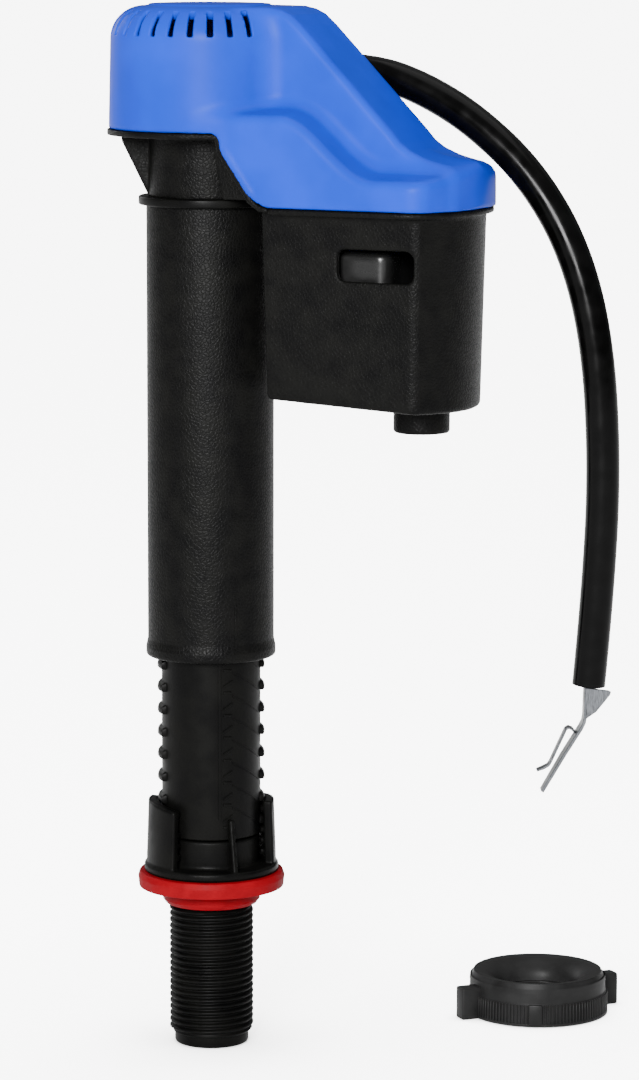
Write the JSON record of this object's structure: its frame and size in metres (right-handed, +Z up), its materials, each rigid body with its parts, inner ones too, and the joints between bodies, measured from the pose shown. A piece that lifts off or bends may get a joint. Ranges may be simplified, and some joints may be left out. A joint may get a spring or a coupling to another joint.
{
  "type": "toilet tank float valve",
  "caption": "Toilet tank fill valve with a height-adjustable riser, enclosed float cup, vented cover, refill hose with clip, shank washer and lock nut.",
  "frame": {"origin": "centre of the threaded shank's lower end, in the plane of the supply bore's mouth", "axes": "+Z up the riser, +X from the riser towards the float cup, -Y the side with the float cup's window"},
  "size_m": [0.1441, 0.1205, 0.2943],
  "materials": {
    "black_plastic": "fine moulded grain",
    "black_grained": "leather grain moulding",
    "grey_plastic": "moulded",
    "blue_plastic": "satin moulding",
    "red_rubber": "matt",
    "black_rubber": "matt",
    "black_hose": "glossy extruded",
    "black_float": "glossy moulding",
    "spring_steel": "stamped",
    "white_acetal": "moulded"
  },
  "bodies": {
    "base": {"base_shank": "black_plastic", "shank_washer": "red_rubber", "base_o_ring": "black_rubber"},
    "rack": {"rack_tube": "black_plastic"},
    "head": {"outer_tube": "black_grained", "tube_collar": "black_plastic", "valve_body": "black_plastic", "downpipe": "black_plastic", "pipe_o_ring_lower": "black_rubber", "pipe_o_ring_upper": "black_rubber", "inlet_filter": "white_acetal", "seat_insert": "white_acetal", "diaphragm": "black_rubber", "bonnet": "white_acetal", "bonnet_screws": "spring_steel", "pivot_pin": "spring_steel", "float_cup": "black_grained"},
    "arm": {"float_arm": "white_acetal"},
    "pilot": {"pilot_pin": "white_acetal", "pilot_seal": "black_rubber"},
    "float": {"float_block": "black_float"},
    "level": {"level_screw": "white_acetal"},
    "drain": {"drain_ball": "white_acetal"},
    "cover": {"cap": "blue_plastic", "refill_nipple": "black_plastic", "refill_hose": "black_hose", "hose_clip": "spring_steel"},
    "nut": {"lock_nut": "grey_plastic"}
  },
  "joints": [
    {"name": "twist_lock", "type": "hinge", "parent": "base", "child": "rack", "pos_m": [0, 0, 0], "axis": [0, 0, 1], "range_deg": [0, 80]},
    {"name": "height_adjust", "type": "slide", "parent": "rack", "child": "head", "axis": [0, 0, 1], "range_m": [-0.038, 0.05]},
    {"name": "cap_lift", "type": "slide", "parent": "head", "child": "cover", "axis": [0, 0, 1], "range_m": [0, 0.045]},
    {"name": "float_lift", "type": "slide", "parent": "head", "child": "float", "axis": [0, 0, 1], "range_m": [0, 0.0069]},
    {"name": "float_arm_pivot", "type": "hinge", "parent": "head", "child": "arm", "pos_m": [0.0055, 0, 0.2727], "axis": [0, -1, 0], "range_deg": [0, 14]},
    {"name": "pilot_press", "type": "slide", "parent": "head", "child": "pilot", "axis": [0, 0, -1], "range_m": [0, 0.0016]},
    {"name": "level_turn", "type": "hinge", "parent": "float", "child": "level", "pos_m": [0.034, 0, 0.24], "axis": [0, 0, 1], "continuous": true},
    {"name": "drain_lift", "type": "slide", "parent": "head", "child": "drain", "axis": [0, 0, 1], "range_m": [0, 0.003]},
    {"name": "lock_nut_lift", "type": "slide", "parent": "base", "child": "nut", "axis": [0, 0, 1], "range_m": [0, 0.05]}
  ],
  "couplings": [
    {"joint": "float_arm_pivot", "follows": "float_lift", "rad_per_m": 35.088},
    {"joint": "pilot_press", "follows": "float_lift", "ratio": 0.2281}
  ]
}
